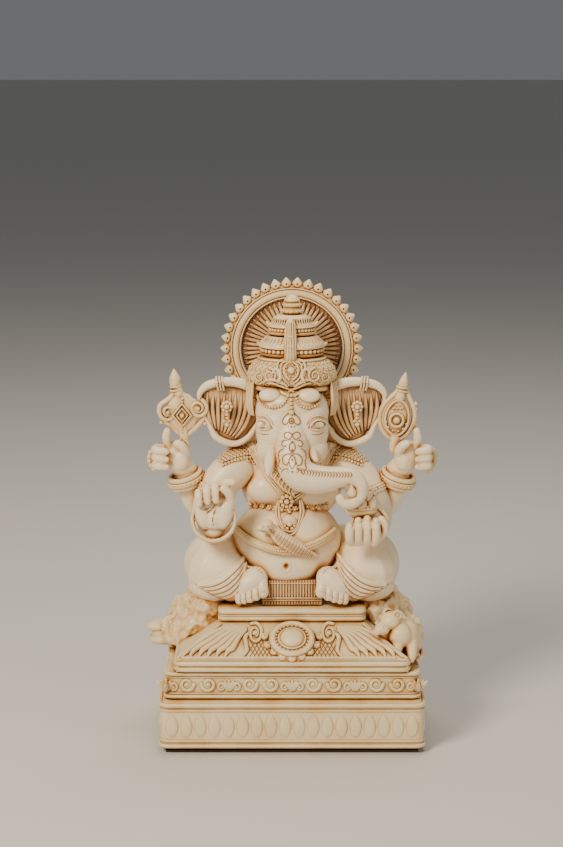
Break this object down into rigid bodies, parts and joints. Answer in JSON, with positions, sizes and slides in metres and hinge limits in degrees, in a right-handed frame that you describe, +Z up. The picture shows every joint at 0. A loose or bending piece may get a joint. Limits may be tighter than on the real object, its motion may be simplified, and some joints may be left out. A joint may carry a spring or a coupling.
{
  "type": "ganesha idol",
  "caption": "Seated four-armed elephant-headed figure in ivory-coloured cast resin with a round halo, on a stepped carved plinth; a free-standing devotional statuette.",
  "frame": {"origin": "under the middle of the felt sheet, where the idol stands", "axes": "+Z up through the crown; the figure looks along -Y; +X is the figure's left hand side"},
  "size_m": [0.1781, 0.1, 0.2739],
  "materials": {
    "ivory_resin": "satin",
    "ornament_resin": "satin",
    "plinth_resin": "satin",
    "felt": "matte"
  },
  "bodies": {
    "root": {"felt_sheet": "felt", "foot_slab": "plinth_resin", "scroll_apron": "plinth_resin", "lower_moulding": "plinth_resin", "plinth_core": "plinth_resin", "front_panel": "plinth_resin", "panel_medallion": "plinth_resin", "cap_slab": "plinth_resin", "rock_right": "plinth_resin", "rock_left": "plinth_resin", "bolster": "plinth_resin", "mouse_body": "ivory_resin", "mouse_head": "ivory_resin", "belly": "ivory_resin", "chest": "ivory_resin", "right_leg": "ivory_resin", "right_foot": "ivory_resin", "left_leg": "ivory_resin", "left_foot": "ivory_resin", "seat_mat": "plinth_resin", "snake_belt": "ornament_resin", "head": "ivory_resin", "trunk": "ivory_resin", "trunk_sweet": "ornament_resin", "collar": "ornament_resin", "tusk_right": "ivory_resin", "ear_right": "ivory_resin", "earring_right": "ornament_resin", "tusk_left": "ivory_resin", "ear_left": "ivory_resin", "earring_left": "ornament_resin", "necklace": "ornament_resin", "pendant": "ornament_resin", "crown_brim": "ornament_resin", "crown_bulb": "ornament_resin", "crown_band": "ornament_resin", "crown_tier": "ornament_resin", "crown_finial": "ornament_resin", "crown_crest": "ornament_resin", "halo_disc": "ornament_resin", "halo_rim": "ornament_resin", "halo_buds": "ornament_resin", "halo_stem": "plinth_resin", "front_arm_right": "ivory_resin", "bracelet_right": "ornament_resin", "front_arm_left": "ivory_resin", "bracelet_left": "ornament_resin", "front_hand_right": "ivory_resin", "front_hand_left": "ivory_resin", "sweet_bowl": "ornament_resin", "rear_arm_right": "ivory_resin", "bangle_right": "ornament_resin", "rear_hand_right": "ivory_resin", "noose_right": "ornament_resin", "rear_arm_left": "ivory_resin", "bangle_left": "ornament_resin", "rear_hand_left": "ivory_resin", "noose_left": "ornament_resin", "axe": "ornament_resin", "goad": "ornament_resin"}
  },
  "joints": []
}
